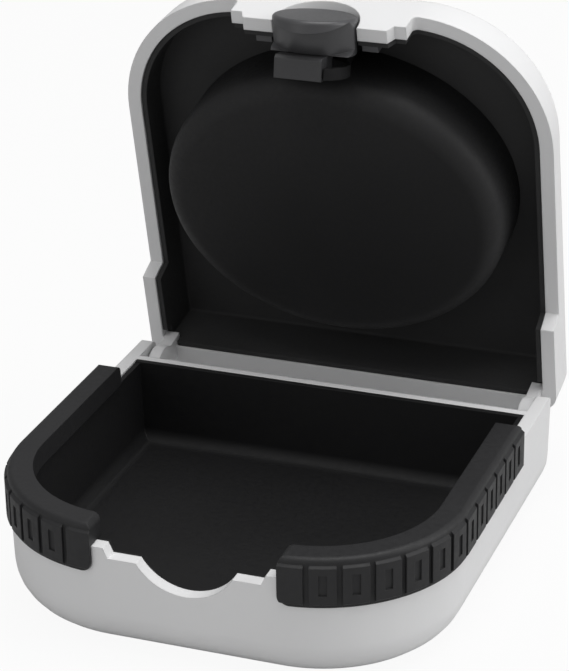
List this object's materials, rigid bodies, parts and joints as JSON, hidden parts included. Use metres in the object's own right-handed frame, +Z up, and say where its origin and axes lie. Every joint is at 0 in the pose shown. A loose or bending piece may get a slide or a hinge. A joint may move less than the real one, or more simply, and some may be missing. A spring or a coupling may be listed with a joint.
{
  "type": "hearing aid case",
  "caption": "Rigid clamshell pocket case with rounded front corners, dark liners, an oval pad in the lid, ribbed grip bands and a push button latch.",
  "frame": {"origin": "on the resting face, under the middle of the closed case", "axes": "+Z up, -Y towards the thumb notch and the push button, +X to the right as seen from the notch"},
  "size_m": [0.0794, 0.0932, 0.0901],
  "materials": {
    "shell_white": "fine satin",
    "liner_black": "soft matte",
    "grip_rubber": "matte",
    "pad_black": "smooth foam",
    "button_grey": "satin",
    "latch_grey": "satin",
    "pin_steel": "ground"
  },
  "bodies": {
    "base": {"base_shell": "shell_white", "base_liner": "liner_black", "grip_band_left": "grip_rubber", "grip_band_right": "grip_rubber", "hinge_pin_left": "pin_steel", "hinge_pin_right": "pin_steel"},
    "lid": {"lid_shell": "shell_white", "lid_liner": "liner_black", "lid_pad": "pad_black", "button_guide": "latch_grey", "button_stop_left": "latch_grey", "button_stop_right": "latch_grey"},
    "button": {"push_button": "button_grey", "latch_tongue": "latch_grey"}
  },
  "joints": [
    {"name": "lid_hinge", "type": "hinge", "parent": "base", "child": "lid", "pos_m": [0, 0.037, 0.01374], "axis": [1, 0, 0], "range_deg": [-12, 78]},
    {"name": "button_slide", "type": "slide", "parent": "lid", "child": "button", "axis": [0, -0.1564, -0.9877], "range_m": [0, 0.0015], "stiffness_N_per_m": 400, "springref_m": -0.001}
  ]
}
